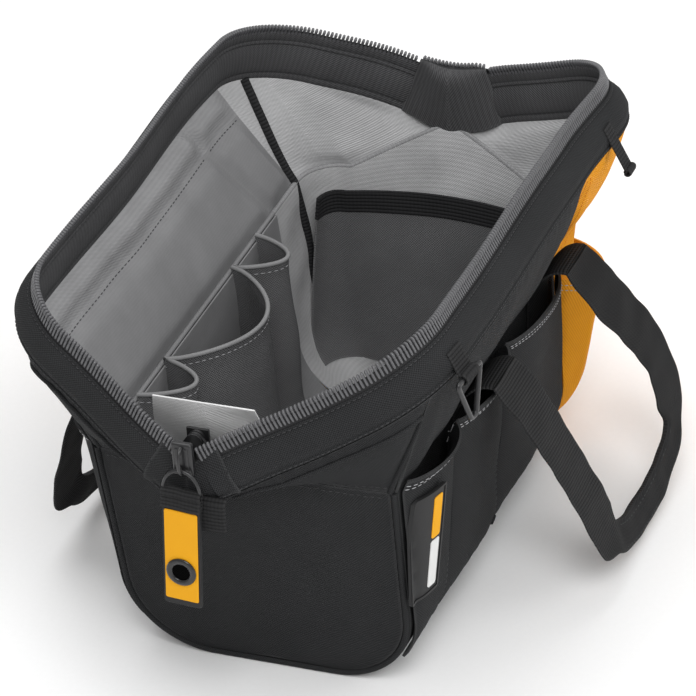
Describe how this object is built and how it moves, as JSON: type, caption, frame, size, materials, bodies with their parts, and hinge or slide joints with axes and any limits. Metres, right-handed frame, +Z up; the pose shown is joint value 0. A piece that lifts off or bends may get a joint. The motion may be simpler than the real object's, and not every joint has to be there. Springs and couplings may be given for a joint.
{
  "type": "open-mouthed zippered tool bag",
  "caption": "Upright tool bag with a zip mouth on a folding steel frame, padded walls, outside and inside pockets, two webbing handles, carrying rings and an orange end.",
  "frame": {"origin": "on the floor, under the middle of the bottom panel", "axes": "+X from the zip slider's end to the orange end, +Y to the left side, where the tool loops are, +Z up"},
  "size_m": [0.484, 0.3652, 0.2802],
  "materials": {
    "black_fabric": "woven polyester",
    "orange_fabric": "woven polyester",
    "grey_lining": "coated lining",
    "pale_lining": "coated lining",
    "dark_pocket": "woven polyester",
    "webbing": "ribbed webbing",
    "zip_tape": "woven tape",
    "board": "stiffening board",
    "zip_teeth": "moulded teeth",
    "steel": "plain",
    "dark_metal": "dark gunmetal",
    "orange_rubber": "moulded",
    "black_rubber": "moulded"
  },
  "bodies": {
    "bag": {"bottom_panel": "black_fabric", "right_side_panel": "black_fabric", "left_side_panel": "black_fabric", "near_end_panel": "black_fabric", "far_end_panel": "orange_fabric", "near_piping": "black_fabric", "base_board": "board", "right_side_board": "board", "left_side_board": "board", "near_end_board": "board", "far_end_board": "board", "floor_lining": "grey_lining", "right_lining": "grey_lining", "left_lining": "grey_lining", "near_lining": "grey_lining", "far_lining": "grey_lining", "near_hinge_bracket": "steel", "far_hinge_bracket": "steel", "right_near_collar": "black_fabric", "right_side_collar": "black_fabric", "right_far_collar": "orange_fabric", "left_near_collar": "black_fabric", "left_side_collar": "black_fabric", "left_far_collar": "orange_fabric", "right_upper_lining": "grey_lining", "left_upper_lining": "grey_lining", "zip_end_tab": "webbing", "right_pocket_row": "black_fabric", "left_pocket_row": "black_fabric", "far_pocket": "orange_fabric", "badge_plate": "black_rubber", "tool_loop_strip": "dark_pocket", "far_inner_pocket": "dark_pocket", "near_lining_flap": "pale_lining", "right_handle_near_leg": "webbing", "right_handle_far_leg": "webbing", "left_handle_near_leg": "webbing", "left_handle_far_leg": "webbing"},
    "left_frame": {"left_frame_rod": "steel", "left_zip_teeth": "zip_teeth", "left_zip_tape": "zip_tape", "left_hem_outer": "black_fabric", "left_hem_inner": "webbing", "left_ring_tab": "webbing"},
    "right_frame": {"right_frame_rod": "steel", "right_zip_teeth": "zip_teeth", "right_zip_tape": "zip_tape", "right_hem_outer": "black_fabric", "right_hem_inner": "webbing", "right_ring_tab": "webbing", "right_loop_tab": "webbing"},
    "zip_slider": {"zip_slider": "dark_metal"},
    "pull_ring": {"pull_ring": "dark_metal"},
    "pull_tag": {"pull_tag_webbing": "webbing", "pull_tag_insert": "orange_rubber", "pull_tag_eyelet": "dark_metal"},
    "right_handle": {"right_handle_loop": "webbing"},
    "left_handle": {"left_handle_loop": "webbing"},
    "right_carry_ring": {"right_carry_ring": "dark_metal"},
    "left_carry_ring": {"left_carry_ring": "dark_metal"}
  },
  "joints": [
    {"name": "left_frame_fold", "type": "hinge", "parent": "bag", "child": "left_frame", "pos_m": [0, 0, 0.22], "axis": [1, 0, 0], "range_deg": [0, 64], "deforming": ["left_near_collar", "left_side_collar", "left_far_collar", "left_upper_lining"]},
    {"name": "right_frame_fold", "type": "hinge", "parent": "bag", "child": "right_frame", "pos_m": [0, 0, 0.22], "axis": [1, 0, 0], "range_deg": [-64, 0], "deforming": ["right_near_collar", "right_side_collar", "right_far_collar", "right_upper_lining"]},
    {"name": "slider_travel", "type": "hinge", "parent": "bag", "child": "zip_slider", "pos_m": [-0.04436, 0, 0.18255], "axis": [0, 1, 0], "range_deg": [0, 20.56]},
    {"name": "pull_ring_swing", "type": "hinge", "parent": "zip_slider", "child": "pull_ring", "pos_m": [-0.2646, 0, 0.2131], "axis": [0, 1, 0], "range_deg": [0, 100]},
    {"name": "pull_tag_swing", "type": "hinge", "parent": "pull_ring", "child": "pull_tag", "pos_m": [-0.2646, 0.00103, 0.19834], "axis": [0, 0.9976, 0.0698], "range_deg": [0, 80]},
    {"name": "right_handle_swing", "type": "hinge", "parent": "bag", "child": "right_handle", "pos_m": [0, -0.1275, 0.1798], "axis": [1, 0, 0], "range_deg": [-125, 0]},
    {"name": "left_handle_swing", "type": "hinge", "parent": "bag", "child": "left_handle", "pos_m": [0, 0.1275, 0.1798], "axis": [1, 0, 0], "range_deg": [0, 125]},
    {"name": "right_ring_swing", "type": "hinge", "parent": "right_frame", "child": "right_carry_ring", "pos_m": [-0.17127, -0.14782, 0.24658], "axis": [0.9842, -0.1594, 0.0765], "range_deg": [-90, 15]},
    {"name": "left_ring_swing", "type": "hinge", "parent": "left_frame", "child": "left_carry_ring", "pos_m": [0.12889, 0.14827, 0.2468], "axis": [0.9923, -0.1115, -0.0535], "range_deg": [-15, 90]}
  ],
  "couplings": [
    {"joint": "right_frame_fold", "follows": "left_frame_fold", "ratio": -1},
    {"joint": "slider_travel", "follows": "left_frame_fold", "ratio": 0.32125}
  ]
}
